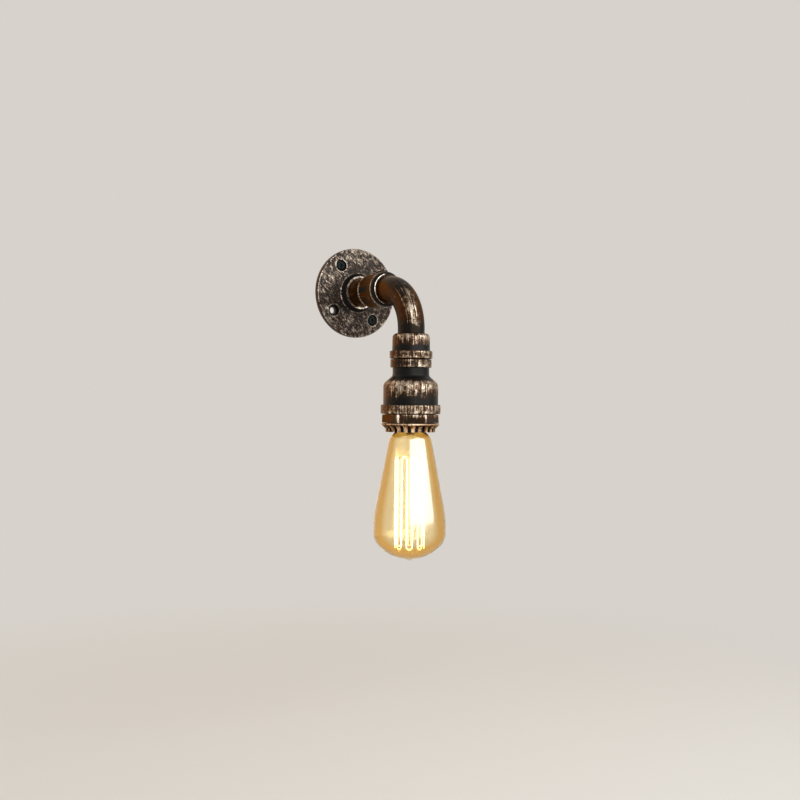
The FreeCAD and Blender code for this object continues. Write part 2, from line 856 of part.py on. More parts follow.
def make_bracket_screws():
    return group("bracket_screws", [
        screw(f"bracket_screw_{name}", size.bracket_head_dia, size.bracket_head, size.bracket_screw_length,
              side * boss_offset, -size.reach, bracket_top)
        for name, side in (("left", -1), ("right", 1))])


def make_holder_tube():
    body = drop_body("holder_tube", bracket_end)
    return make_tube(body, size.tube_dia, size.tube_bore, as_measure(0.0), bracket_end - tube_top)


def make_lock_nuts():
    nuts = []
    for name, depth in (("upper_nut", tag_top), ("lower_nut", bracket_top)):
        body = drop_body(name, depth)
        sketch = new_sketch(body, "XY_Plane")
        outline(sketch, hexagon(size.nut_flats, turned=True))
        circle(sketch, tube_seat)
        pad(body, sketch, size.nut_height)
        nuts.append(body)
    return group("lock_nuts", nuts)


def make_earth_tag():
    """A ring tag with a tail that carries an upright crimp barrel for the earth lead."""
    body = drop_body("earth_tag", partition_top)
    sketch = new_sketch(body, "XY_Plane")
    circle(sketch, size.tag_dia)
    circle(sketch, tube_seat)
    pad(body, sketch, size.tag_sheet)
    sketch = new_sketch(body, "XY_Plane")
    half = size.tag_tail / 2
    near = size.tag_sheet - size.tag_dia / 2
    far = -size.earth_offset - size.barrel_dia / 2
    outline(sketch, [(-half, far), (half, far), (half, near), (-half, near)])
    pad(body, sketch, size.tag_sheet)
    sketch = new_sketch(body, "XY_Plane", shift=size.tag_sheet)
    circle(sketch, size.barrel_dia, 0.0, -size.earth_offset)
    circle(sketch, size.barrel_bore, 0.0, -size.earth_offset)
    pad(body, sketch, size.barrel_height)
    return body


lead_start = size.core_inset + size.core_bare
earth_end = partition_top - size.tag_sheet - size.barrel_height - size.end_gap
live_strip = size.live_terminal - size.terminal_head_dia / 2 - size.strip_clear
neutral_strip = -neutral_terminal + size.terminal_head_dia / 2 + size.strip_clear


def make_lead(name, side, offset, ends):
    """An insulated lead at a fixed offset from the pipe's axis, through the bend and down the drop."""
    body = drop_body(name, as_measure(0.0), x=side)
    pipe(body, [
        (size.reach - lead_start, offset),
        (-offset, offset, size.bend_radius + offset),
    ] + ends, size.lead_dia)
    return body


def make_leads():
    turn = size.lead_turn
    live = make_lead("live_lead", size.lead_side, size.lead_offset, [
        (-size.lead_offset, -lead_depth, turn), (live_strip, -lead_depth)])
    neutral = make_lead("neutral_lead", -size.lead_side, -size.lead_offset, [
        (size.lead_offset, -lead_depth, turn), (neutral_strip, -lead_depth)])
    earth = make_lead("earth_lead", as_measure(0.0), size.earth_offset, [(-size.earth_offset, -earth_end)])
    return [live, neutral, earth]


def make_lead_cores():
    """The bare ends of the leads: three at the wall, two at the terminals, one in the tag's barrel."""
    out_of_wall = Rotation(Vector(1, 0, 0), 90)
    at_wall = (
        ("live_wall_core", size.lead_side, size.lead_offset),
        ("neutral_wall_core", -size.lead_side, -size.lead_offset),
        ("earth_wall_core", 0.0, size.earth_offset),
    )
    cores = [
        rod(name, size.core_dia, size.core_bare, x, -size.core_inset, z, out_of_wall)
        for name, x, z in at_wall]
    live_length = size.live_terminal + size.core_past - live_strip
    neutral_length = neutral_terminal + size.core_past + neutral_strip
    cores.append(rod("live_core", size.core_dia, live_length, size.lead_side,
                     -size.reach + size.live_terminal + size.core_past, -lead_depth, out_of_wall))
    cores.append(rod("neutral_core", size.core_dia, neutral_length, -size.lead_side,
                     -size.reach + neutral_strip, -lead_depth, out_of_wall))
    cores.append(rod("earth_core", size.core_dia, size.earth_bare, 0.0,
                     -size.reach - size.earth_offset, -earth_end - size.earth_bare))
    return group("lead_cores", cores)


def make_bulb_cap():
    """A thin screw cap, open below for the glass and pierced above for the contact."""
    body = drop_body("bulb_cap", cap_end)
    outer, inner = size.cap_dia / 2, size.cap_dia / 2 - size.cap_sheet
    revolve(body, [
        (inner, 0.0),
        (outer, 0.0),
        (outer, size.cap_length, size.cap_round),
        (size.cap_hole / 2, size.cap_length),
        (size.cap_hole / 2, size.cap_length - size.cap_sheet),
        (inner, size.cap_length - size.cap_sheet, size.cap_round - size.cap_sheet),
    ])
    return body


def make_cap_insulator():
    body = drop_body("cap_insulator", insulator_end)
    revolve(body, [
        (0.0, 0.0),
        (size.insulator_dia / 2, 0.0),
        (size.insulator_top_dia / 2, size.insulator_height),
        (0.0, size.insulator_height),
    ])
    return body


def make_contact_tip():
    body = drop_body("contact_tip", tip_end)
    revolve(body, [
        (0.0, 0.0),
        (size.tip_dia / 2, 0.0),
        (size.tip_dia / 2, size.tip_height, size.tip_edge),
        (0.0, size.tip_height),
    ])
    return body


neck_top = size.bulb_length + size.bulb_neck_grip


def make_bulb_glass():
    """A thin teardrop envelope, open at its neck, with the sealed tip at its lowest point."""
    body = drop_body("bulb_glass", bulb_end)
    widest = size.bulb_dia / 2
    dome = widest - size.dome_inset
    rise = size.side_corner - size.pip_height
    slant = (rise * rise + size.dome_inset * size.dome_inset).root()
    side_end = size.side_round * (slant - rise) / size.dome_inset
    dome_start = least(dome - size.pip_dia / 4, slant - side_end - size.least_run)
    dome_round = dome_start * rise / (slant - size.dome_inset)
    shoulder = size.bulb_length - size.shoulder_drop
    flank_drop = shoulder - size.flank_corner
    flank = (flank_drop * flank_drop + size.flank_taper * size.flank_taper).root()
    side_run = size.flank_corner - size.side_corner - side_end - size.least_run
    flank_round = least(size.flank_round, side_run * (flank + flank_drop) / size.flank_taper)
    outside = [
        (0.0, size.pip_height),
        (dome, size.pip_height, dome_round),
        (widest, size.side_corner, size.side_round),
        (widest, size.flank_corner, flank_round),
        (widest - size.flank_taper, shoulder, size.shoulder_round),
        (neck_radius, size.bulb_length - size.bulb_neck_show, size.bulb_neck_round),
        (neck_radius, neck_top),
    ]
    inside = inset("glass", outside, size.glass_wall)
    inside[0] = (0.0, size.pip_height + size.glass_wall)
    revolve(body, outside + inside[::-1])
    revolve(body, [
        (0.0, 0.0),
        (size.pip_dia / 2, 0.0, size.pip_round),
        (size.pip_dia / 2, size.pip_height + size.glass_wall / 2),
        (0.0, size.pip_height + size.glass_wall / 2),
    ])
    return body


cage_top = size.cage_bottom + size.cage_length
hook_step = size.filament_dia / 2 + size.support_dia / 2 + size.hook_gap
lower_hooks = size.cage_bottom + hook_step
upper_hooks = cage_top - hook_step
stem_top = neck_top - size.stem_inset
stem_end = upper_hooks + size.button_height / 2 + size.stem_taper


def make_glass_stem():
    """The flared stem sealed in the neck, and the long rod with a button for each ring of hooks."""
    body = drop_body("glass_stem", bulb_end)
    button, rod_radius, half = size.button_dia / 2, size.rod_dia / 2, size.button_height / 2
    flare = neck_radius - size.glass_wall - size.neck_gap
    flare_foot = stem_top - size.stem_flare
    revolve(body, [
        (0.0, lower_hooks - half),
        (button, lower_hooks - half),
        (button, lower_hooks + half),
        (rod_radius, lower_hooks + half),
        (rod_radius, upper_hooks - half),
        (button, upper_hooks - half),
        (button, upper_hooks + half),
        (size.stem_dia / 2, stem_end),
        (size.stem_dia / 2, flare_foot - size.stem_flare_height, size.stem_round),
        (flare, flare_foot),
        (flare, stem_top),
        (0.0, stem_top),
    ])
    return body


def on_cage(step, radius, height):
    """A point at a whole or half strand step round the bulb's axis."""
    angle = 2 * math.pi * step / size.strand_count.number
    return Vector(radius * math.cos(angle), radius * math.sin(angle), height)


def bulb_shape(name, shape):
    """A shape drawn about the bulb's axis, set down at the bulb's lowest point."""
    feature = document.addObject("Part::Feature", name)
    feature.Label = name
    feature.Shape = shape
    feature.Placement = Placement(Vector(0, -size.reach.number, -bulb_end.number), Rotation())
    return feature


def make_filament():
    """One wire up and down the cage, with a half-round turn at each hook."""
    count, cage = int(size.strand_count.number), size.cage_dia.number / 2
    bend = cage * math.sin(math.pi / count)
    low, high = size.cage_bottom.number + bend, cage_top.number - bend
    middle = cage * math.cos(math.pi / count)
    edges = []
    for strand in range(count):
        ends = [on_cage(strand, cage, high), on_cage(strand, cage, low)]
        if strand % 2:
            ends.reverse()
        edges.append(Part.LineSegment(*ends).toShape())
        if strand < count - 1:
            turn = low - bend if strand % 2 == 0 else high + bend
            arc = Part.Arc(ends[1], on_cage(strand + 0.5, middle, turn), on_cage(strand + 1, cage, ends[1].z))
            edges.append(arc.toShape())
    path = Part.Wire(edges)
    radius = size.filament_dia.number / 2
    section = Part.Wire(Part.Circle(on_cage(0, cage, high), Vector(0, 0, 1), radius).toShape())
    shape = path.makePipeShell([section], True, False)
    expected = math.pi * radius ** 2 * path.Length
    if abs(shape.Volume / expected - 1) > 0.01:
        raise ValueError(f"filament volume is {shape.Volume:.1f}, but section times length is {expected:.1f}")
    print(f"filament: least gap to itself {2 * (bend - radius):.2f} mm")
    return bulb_shape("filament", shape)


def bar(start, end, diameter):
    return Part.makeCylinder(diameter.number / 2, (end - start).Length, start, end - start)


def make_support_wires():
    """Straight hooks from the stem's buttons out to each turn of the filament."""
    reach = size.cage_dia.number / 2
    root = size.button_dia.number / 2
    wires = []
    for strand in range(int(size.strand_count.number) - 1):
        height = lower_hooks.number if strand % 2 == 0 else upper_hooks.number
        ends = [on_cage(strand + 0.5, radius, height) for radius in (root, reach)]
        wires.append(bar(*ends, size.support_dia))
    return bulb_shape("support_wires", Part.makeCompound(wires))


def make_lead_in_wires():
    """Two wires from the stem to the ends of the filament."""
    count, cage = int(size.strand_count.number), size.cage_dia.number / 2
    ends = cage_top.number - cage * math.sin(math.pi / count)
    start = stem_end.number + size.lead_in_rise.number
    root = size.stem_dia.number / 2 + size.lead_in_gap.number
    near = cage - size.filament_dia.number / 2 - size.thread_gap.number
    wires = [bar(on_cage(strand, root, start), on_cage(strand, near, ends), size.lead_in_dia)
             for strand in (0, count - 1)]
    return bulb_shape("lead_in_wires", Part.makeCompound(wires))


def make_all():
    fittings = [
        make_wall_flange(), make_arm_nipple(), make_arm_coupling(), make_elbow(), make_drop_coupling(),
        make_close_nipple(), make_bell_reducer(), make_hex_bushing(), make_crown_ring()]
    holder = [
        make_socket_body(), make_screw_shell(), make_centre_contact(), make_terminal_screws(),
        make_socket_bracket(), make_bracket_screws(), make_holder_tube(), make_lock_nuts(), make_earth_tag()]
    leads = make_leads() + [make_lead_cores()]
    bulb = [
        make_bulb_cap(), make_cap_insulator(), make_contact_tip(), make_bulb_glass(), make_glass_stem(),
        make_lead_in_wires(), make_support_wires(), make_filament()]
    return fittings + holder + leads + bulb


def check_model(pieces):
    """Stop if any object failed, a cut removed nothing, or a piece is not a valid solid."""
    failed = [item.Name for item in document.Objects if {"Invalid", "Error"} & set(item.State)]
    if failed:
        raise ValueError(f"failed objects: {failed}")
    for item in document.Objects:
        if item.TypeId == "PartDesign::Pocket" and item.Shape.Volume >= item.BaseFeature.Shape.Volume:
            raise ValueError(f"{item.Name} cuts nothing")
    for piece in pieces:
        if piece.Shape.isNull() or not piece.Shape.isValid() or not piece.Shape.Solids:
            raise ValueError(f"{piece.Label} is not a valid solid")


def write_pieces(pieces):
    os.makedirs("parts", exist_ok=True)
    for piece in pieces:
        piece.Shape.exportStep(f"parts/{piece.Label}.step")
        print(f"{piece.Label}: {len(piece.Shape.Solids)} solid(s), {piece.Shape.Volume:.0f} mm3")


pieces = make_all()
document.recompute()
check_model(pieces)
write_pieces(pieces)
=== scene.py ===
import json
import math

import bmesh
import bpy
from mathutils import Matrix, Vector


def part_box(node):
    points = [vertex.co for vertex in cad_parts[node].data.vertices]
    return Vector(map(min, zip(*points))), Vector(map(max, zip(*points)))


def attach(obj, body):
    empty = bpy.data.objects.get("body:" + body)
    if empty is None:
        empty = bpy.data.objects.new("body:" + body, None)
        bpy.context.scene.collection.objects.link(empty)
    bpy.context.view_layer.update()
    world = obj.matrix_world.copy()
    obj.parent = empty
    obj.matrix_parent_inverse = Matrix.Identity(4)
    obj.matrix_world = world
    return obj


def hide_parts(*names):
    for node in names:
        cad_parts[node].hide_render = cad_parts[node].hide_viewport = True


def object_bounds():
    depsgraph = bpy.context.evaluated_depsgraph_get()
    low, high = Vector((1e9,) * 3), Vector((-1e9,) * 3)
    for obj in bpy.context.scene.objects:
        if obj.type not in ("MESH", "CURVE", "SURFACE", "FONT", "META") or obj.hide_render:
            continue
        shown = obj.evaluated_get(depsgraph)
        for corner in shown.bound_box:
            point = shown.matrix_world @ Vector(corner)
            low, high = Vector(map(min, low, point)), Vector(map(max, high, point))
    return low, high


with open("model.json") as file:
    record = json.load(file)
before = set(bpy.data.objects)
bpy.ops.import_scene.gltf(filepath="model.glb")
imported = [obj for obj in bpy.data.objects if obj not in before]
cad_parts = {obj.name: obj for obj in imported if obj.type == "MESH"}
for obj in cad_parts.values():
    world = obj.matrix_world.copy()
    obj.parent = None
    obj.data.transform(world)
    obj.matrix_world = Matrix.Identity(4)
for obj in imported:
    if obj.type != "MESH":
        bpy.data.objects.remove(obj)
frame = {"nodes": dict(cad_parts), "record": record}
cad_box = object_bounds()
nodes = frame["nodes"]

# Sizes and places that the finishes and the new pieces share, in metres
MM = 0.001
cap_low, cap_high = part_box("bulb_cap")
drop_x = (cap_low.x + cap_high.x) / 2
drop_y = (cap_low.y + cap_high.y) / 2
wall_holes = next(mount["dims"] for mount in frame["record"]["mounts"] if mount["name"] == "wall_holes")
HOLE_CIRCLE = wall_holes["pcd_mm"] / 2 * MM
HOLE_TURN = math.radians(34.5)
SEAT_RADIUS = 5.4 * MM
SEAT_FLOOR = 3.4 * MM
BEND_RADIUS = 38.0 * MM
THREAD_PITCH = 3.629 * MM
SHARP_EDGE = math.radians(35.0)
ROUND_SIDES = 96


class Shade:
    """A socket in shader arithmetic: each operator adds one Math node."""

    def __init__(self, paint, socket):
        self.paint = paint
        self.socket = socket

    def out(self, name):
        """Another output of the same node."""
        return Shade(self.paint, self.socket.node.outputs[name])

    def math(self, operation, *others):
        """A Math node whose first value is this one."""
        values = dict(enumerate((self,) + others))
        return self.paint.node("ShaderNodeMath", {"operation": operation}, values)

    def __add__(self, other):
        return self.math("ADD", other)

    __radd__ = __add__

    def __sub__(self, other):
        return self.math("SUBTRACT", other)

    def __rsub__(self, other):
        return self.paint.node("ShaderNodeMath", {"operation": "SUBTRACT"}, {0: other, 1: self})

    def __mul__(self, other):
        return self.math("MULTIPLY", other)

    __rmul__ = __mul__

    def __truediv__(self, other):
        return self.math("DIVIDE", other)

    def __abs__(self):
        return self.math("ABSOLUTE")


def distance(first, second):
    """The length of a flat vector, from its two parts."""
    return (first * first + second * second).math("SQRT")


class Paint:
    """The nodes of a material or of the world, built up one by one."""

    def __init__(self, owner):
        owner.use_nodes = True
        self.owner = owner
        self.tree = owner.node_tree
        self.tree.nodes.clear()

    def node(self, kind, settings=None, sockets=None, output=0):
        """Add a node: its settings first, then the values or links of its sockets."""
        made = self.tree.nodes.new(kind)
        for key, value in (settings or {}).items():
            if key == "stops":
                self.fill_ramp(made.color_ramp, value)
            else:
                setattr(made, key, value)
        for key, value in (sockets or {}).items():
            if isinstance(value, Shade):
                self.tree.links.new(value.socket, made.inputs[key])
            else:
                made.inputs[key].default_value = value
        return Shade(self, made.outputs[output]) if made.outputs else made

    @staticmethod
    def fill_ramp(ramp, stops):
        while len(ramp.elements) < len(stops):
            ramp.elements.new(1.0)
        for element, (position, level) in zip(ramp.elements, stops):
            element.position = position
            element.color = (level, level, level, 1.0)

    def place(self):
        return self.node("ShaderNodeTexCoord", output="Object")

    def axes(self, vector):
        split = self.node("ShaderNodeSeparateXYZ", None, {0: vector})
        return split, split.out("Y"), split.out("Z")

    def vector(self, x, y, z):
        return self.node("ShaderNodeCombineXYZ", None, {0: x, 1: y, 2: z})

    def unit(self, vector):
        return self.node("ShaderNodeVectorMath", {"operation": "NORMALIZE"}, {0: vector})

    def turned(self, vector, turn):
        """A vector turned about Y."""
        values = {"Vector": vector, "Angle": turn}
        return self.node("ShaderNodeVectorRotate", {"rotation_type": "Y_AXIS"}, values)

    def stretched(self, vector, scale):
        return self.node("ShaderNodeVectorMath", {"operation": "MULTIPLY"}, {0: vector, 1: scale})

    def noise(self, vector, scale, detail=4.0, rough=0.55):
        return self.node("ShaderNodeTexNoise", None, {
            "Vector": vector, "Scale": scale, "Detail": detail, "Roughness": rough})

    def uneven(self, vector, scale, detail=4.0, rough=0.55):
        """Noise about zero."""
        return self.noise(vector, scale, detail, rough) - 0.5

    def step(self, value, low, high):
        """0 at low, 1 at high, smooth between."""
        return self.node("ShaderNodeMapRange", {"interpolation_type": "SMOOTHSTEP"}, {
            "Value": value, "From Min": low, "From Max": high})

    def ramp(self, value, stops):
        """A level that follows a list of (value, level) stops."""
        low, high = stops[0][0], stops[-1][0]
        least = min(level for position, level in stops)
        share = self.node("ShaderNodeMapRange", None, {"Value": value, "From Min": low, "From Max": high})
        stops = [((position - low) / (high - low), level - least) for position, level in stops]
        return self.node("ShaderNodeValToRGB", {"stops": stops}, {0: share}) + least

    def mix(self, factor, first, second):
        """Two colours mixed: they are sockets 6 and 7 of the Mix node, and its output 2 is the colour."""
        return self.node("ShaderNodeMix", {"data_type": "RGBA"}, {0: factor, 6: first, 7: second}, output=2)

    def bump(self, height, depth, strength):
        return self.node("ShaderNodeBump", None, {"Height": height, "Distance": depth, "Strength": strength})

    def surface(self, **sockets):
        """Finish a material: each keyword is a socket of the shader, in small letters."""
        named = {}
        for key, value in sockets.items():
            named[key.replace("_", " ").title().replace("Ior", "IOR")] = value
        shader = self.node("ShaderNodeBsdfPrincipled", None, named)
        self.node("ShaderNodeOutputMaterial", None, {"Surface": shader})
        return self.owner


def new_paint(name):
    """The empty nodes of a new material."""
    return Paint(bpy.data.materials.new(name))


# Colours of the bronze: the dark coat, what shows through it, and the tint of its gleam
BLACK = (0.0040, 0.0039, 0.0040, 1.0)
RUST = (0.062, 0.0195, 0.0038, 1.0)
COPPER = (0.26, 0.165, 0.095, 1.0)
TAN = (0.44, 0.355, 0.27, 1.0)
CREAM = (0.88, 0.81, 0.71, 1.0)
RED_COPPER = (0.40, 0.245, 0.14, 1.0)
PALE_COPPER = (0.85, 0.65, 0.45, 1.0)
PEWTER = (0.175, 0.137, 0.105, 1.0)
SILVER = (0.72, 0.605, 0.50, 1.0)
MILD_GLEAM = (1.0, 0.92, 0.84, 1.0)
WARM_GLEAM = (1.0, 0.74, 0.50, 1.0)

# Rubbed metal in three tones, from the least worn to the most
TAN_TONES = (COPPER, TAN, CREAM)
RED_TONES = (COPPER, RED_COPPER, PALE_COPPER)
GREY_TONES = (PEWTER, PEWTER, SILVER)

# Wear of the fittings on the drop, by height above the fitting's lower edge in mm
COLLAR_WEAR = [
    (0.0, 0.2), (0.6, 0.5), (3.4, 0.36), (6.2, 0.5), (6.7, 0.25), (6.9, -0.1), (10.3, 0.0), (12.2, 0.3),
    (15.5, 0.43), (20.0, 0.58), (21.6, 0.46), (22.3, 0.0)]
BELL_WEAR = [
    (0.0, 0.2), (0.7, 0.57), (3.5, 0.46), (7.4, 0.57), (8.1, 0.2), (8.5, -0.1), (12.0, 0.12), (16.0, 0.32),
    (21.0, 0.44), (25.0, 0.51), (28.0, 0.59), (30.0, 0.3), (31.5, -0.1), (40.6, -0.1), (40.9, 0.36),
    (41.5, 0.44), (44.4, 0.3), (47.4, 0.44), (48.1, 0.2)]
HEX_WEAR = [(-1.0, 0.0), (0.0, 0.25), (0.8, 0.12), (3.5, 0.22), (5.6, 0.42), (7.0, 0.52), (7.7, 0.0)]
CROWN_WEAR = [(0.0, 0.62), (2.8, 0.62), (5.0, 0.5), (6.1, 0.2), (6.4, 0.66), (7.3, 0.7), (7.9, 0.0)]

# Wear of the pieces on the arm, by distance from the wall in mm
NIPPLE_WEAR = [(0.0, 0.1), (12.6, -0.1), (16.0, 0.1), (29.0, 0.1), (31.0, -0.1), (42.0, 0.1)]
COUPLING_WEAR = [
    (30.0, 0.74), (33.6, 0.7), (34.4, 0.22), (35.2, 0.1), (46.0, 0.1), (52.5, 0.14), (53.6, -0.1),
    (54.6, -0.1)]
BEAD_BACK_WEAR = [(54.0, 0.78), (55.9, 0.72), (56.4, -0.3), (59.9, -0.3), (60.4, 0.0)]
BEAD_FRONT_WEAR = [(60.4, 0.0), (60.6, 0.85), (60.8, 0.1), (61.0, 0.0)]

# Wear of the elbow, by depth below the arm's axis in mm
BEND_WEAR = [
    (-8.0, 0.04), (0.0, 0.2), (8.0, 0.42), (16.0, 0.55), (25.0, 0.58), (32.0, 0.44), (37.0, 0.14),
    (41.0, -0.26)]

# Wear by radius in mm, and round the flange's holes by the share of a seat's radius
HEX_CORNERS = [(23.9, 0.0), (25.0, 0.4)]
CROWN_SLOTS = [(20.5, -0.9), (21.5, 0.0)]
COUPLING_FLATS = [(14.95, -0.6), (15.15, -0.4), (15.24, 0.1), (15.3, 0.0)]
BEAD_LIP = [(12.9, 0.0), (13.3, 1.0), (14.3, 1.0), (14.8, 0.0)]
FLANGE_WEAR = [
    (12.0, 0.2), (13.4, 0.45), (14.8, 0.75), (15.5, 0.6), (15.9, 0.0), (17.6, -0.1), (18.3, 0.3),
    (18.7, 0.62), (19.3, 0.26), (21.0, 0.31), (30.0, 0.38), (38.0, 0.37), (40.6, 0.4), (41.2, 0.62),
    (41.5, 0.5), (41.8, 0.1)]
SEAT_WEAR = [(0.9, -0.8), (0.99, -0.4), (1.02, 0.18), (1.08, 0.18), (1.25, 0.0)]


def patina(paint, wear, streak, rusty, tones=TAN_TONES, gleam=WARM_GLEAM, spread=0.2):
    """Blackened bronze: rust-brown shows through the black, and rubbed places take three tones in turn."""
    bare_at, second_at, third_at = 0.48, 0.5, 0.54
    place = paint.place()
    grain = paint.uneven(place, 1300.0, detail=3.0, rough=0.65)
    blotch = paint.uneven(place, 240.0, detail=5.0, rough=0.65)
    patch = paint.uneven(place, 60.0, detail=2.0)
    rubbed = wear + streak * 1.2 + blotch * 0.9 + grain + patch * 0.5
    worn = paint.step(rubbed, bare_at - spread / 2, bare_at + spread / 2)
    second = paint.step(rubbed, second_at, second_at + spread)
    third = paint.step(rubbed, third_at, third_at + spread * 2.0)
    browned = paint.step(rusty + wear * 1.1 + blotch + streak * 1.3, 0.15, 0.85)
    coat = paint.mix(browned, BLACK, RUST)
    bare = paint.mix(third, paint.mix(second, tones[0], tones[1]), tones[2])
    height = grain * 0.5 + blotch * 0.4 + worn * 0.3
    return paint.surface(
        base_color=paint.mix(worn, coat, bare), metallic=worn.math("MAXIMUM", browned) * 0.85,
        roughness=0.33 - worn * 0.02 + grain * 0.35, specular_ior_level=0.14, specular_tint=gleam,
        normal=paint.bump(height, 0.2 * MM, 0.8))


def radius_wear(paint, radius, stops):
    """Wear along a list of radius stops, or nothing without one."""
    return paint.ramp(radius / MM, stops) if stops else 0.0


def drop_patina(name, node, wear_stops, rusty_level, radius_stops=None, tones=TAN_TONES, gleam=MILD_GLEAM):
    """Patina of a fitting on the drop, with streaks that run down it.

    The back left side, turned from the key light, is painted browner and less rubbed, as a painted warm
    reflection and painted shade.
    """
    streaks_round, streaks_down = 20.0, 45.0
    reflection_left, reflection_back = 0.84, 0.54
    paint = new_paint(name)
    x, y, z = paint.axes(paint.place())
    x, y = x - drop_x, y - drop_y
    radius = distance(x, y)
    x, y = x / radius, y / radius
    run = paint.vector(x * streaks_round, y * streaks_round, z * streaks_down)
    streak = paint.uneven(run, 1.0, detail=5.0, rough=0.65)
    height = (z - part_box(node)[0].z) / MM
    wear = paint.ramp(height, wear_stops) + radius_wear(paint, radius, radius_stops)
    # Painted reflection and shade: more brown and less rubbed metal on the back left side.
    painted_reflection_side = paint.step(y * reflection_back - x * reflection_left, 0.55, 0.95)
    return patina(paint, wear - painted_reflection_side * 0.22, streak, painted_reflection_side * 0.7 + rusty_level, tones, gleam)


def arm_patina(name, wear_stops, rusty_level, radius_stops=None):
    """Patina of a piece on the arm, with streaks that run along it."""
    streaks_round, streaks_along = 10.0, 90.0
    paint = new_paint(name)
    x, y, z = paint.axes(paint.place())
    radius = distance(x, z)
    run = paint.vector(x / radius * streaks_round, y * streaks_along, z / radius * streaks_round)
    streak = paint.uneven(run, 1.0, detail=4.0, rough=0.6)
    flats = radius_wear(paint, radius, radius_stops)
    wear = paint.ramp(y / -MM, wear_stops) + flats
    rusty = paint.uneven(run, 0.4, detail=2.0) * 1.2 + rusty_level + flats
    return patina(paint, wear, streak * 1.2, rusty)


def elbow_patina(name):
    """Patina that follows the bend.

    The bead is black between rubbed lips, the bend brown, and the tail black; pale rubbed streaks are kept
    to the outer side of the bend as a painted highlight where the key light falls.
    """
    streaks_round, streaks_along = 13.0, 1.4
    bead_end, bead_blur = 60.6, 0.3
    lip_stops, lip_full = 4.0, -9.0
    tail_starts, tail_black = 28.0, 42.0
    paint = new_paint(name)
    x, y, z = paint.axes(paint.place())
    out = (drop_y + BEND_RADIUS - y).math("MAXIMUM", 0.0)
    up = (z + BEND_RADIUS).math("MAXIMUM", 0.0)
    across = distance(out, up) - BEND_RADIUS
    aside, ahead, _ = paint.axes(paint.unit(paint.vector(x, across, 0.0)))
    along = out.math("ARCTAN2", up)
    run = paint.vector(aside * streaks_round, ahead * streaks_round, along * streaks_along)
    streak = paint.uneven(run, 1.0, detail=5.0, rough=0.62)
    from_wall = y / -MM
    below = z / -MM
    back_lip = paint.ramp(from_wall, BEAD_BACK_WEAR)
    front_lip = paint.ramp(from_wall, BEAD_FRONT_WEAR) * radius_wear(paint, distance(x, z), BEAD_LIP)
    front_lip = front_lip * paint.step(x / MM, lip_stops, lip_full)
    # Partly wear and partly painted highlight: pale streaks and less brown only on the outer side of the
    # bend, where the key light's highlight falls.
    wear_and_highlight_side = paint.step(ahead, 0.25, 0.9) * paint.step(aside, 0.45, -0.15)
    wear = back_lip + front_lip + paint.ramp(below, BEND_WEAR) * wear_and_highlight_side
    on_bead = paint.step(from_wall, bead_end + bead_blur, bead_end)
    on_tail = paint.step(below, tail_starts, tail_black)
    dark = on_bead * 1.4 + on_tail * 1.1 + paint.step(along, 0.2, 0.6) * 0.3
    return patina(paint, wear, streak * 1.4, 0.8 - dark - wear_and_highlight_side * 0.55)


def flange_patina(name):
    """Mottled black and pewter with brushed scratches; the rim, the hub and the seats have rubbed edges, and
    the flange's side next to the wall is painted darker and browner as shade.
    """
    brush_turn, brush_strokes = 0.7, (1300.0, 300.0, 280.0)
    paint = new_paint(name)
    place = paint.place()
    x, y, z = paint.axes(place)
    strokes = paint.stretched(paint.turned(place, brush_turn), brush_strokes)
    brushed = paint.uneven(strokes, 1.0, detail=4.0, rough=0.75)
    mottle = paint.uneven(place, 420.0, detail=6.0, rough=0.75)
    to_side, _, to_top = paint.axes(paint.turned(place, HOLE_TURN))
    far = abs(to_side).math("MAXIMUM", abs(to_top)) - HOLE_CIRCLE
    near = abs(to_side).math("MINIMUM", abs(to_top))
    seat_edge = paint.ramp(distance(far, near) / SEAT_RADIUS, SEAT_WEAR)
    # Painted shade: the side next to the wall is not rubbed and turns dark brown.
    painted_wall_side_shade = paint.step(y / -MM, 3.6, 2.8)
    wear = (radius_wear(paint, distance(x, z), FLANGE_WEAR) + seat_edge) * (1.0 - painted_wall_side_shade) - painted_wall_side_shade * 0.4
    return patina(
        paint, wear + mottle * 0.65, brushed * 1.5, painted_wall_side_shade - 0.05, GREY_TONES, MILD_GLEAM, spread=0.24)


def plain_metal(name, colour, dull, rough):
    """Sheet or turned metal with a faint tarnish and fine tool lines."""
    tool_lines = (80.0, 80.0, 4000.0)
    paint = new_paint(name)
    place = paint.place()
    tarnish = paint.noise(place, 120.0, detail=4.0, rough=0.6)
    lines = paint.noise(paint.stretched(place, tool_lines), 1.0, detail=2.0)
    colour = paint.mix(paint.step(tarnish, 0.35, 0.75), colour, dull)
    return paint.surface(
        base_color=colour, metallic=1.0, roughness=rough + (tarnish - 0.5) * 0.25,
        normal=paint.bump(lines, 0.03 * MM, 0.5))


def glazed_porcelain(name):
    """White glaze with faint clouds and a few specks."""
    ivory, white, speck_brown = (0.80, 0.77, 0.70, 1.0), (0.88, 0.86, 0.81, 1.0), (0.45, 0.40, 0.33, 1.0)
    paint = new_paint(name)
    place = paint.place()
    cloud = paint.noise(place, 60.0, detail=3.0)
    speck = paint.step(paint.noise(place, 1500.0, detail=1.0), 0.72, 0.8)
    return paint.surface(
        base_color=paint.mix(speck * 0.4, paint.mix(cloud, ivory, white), speck_brown),
        roughness=0.18 + cloud * 0.12, coat_weight=0.6, normal=paint.bump(cloud, 0.2 * MM, 0.3))


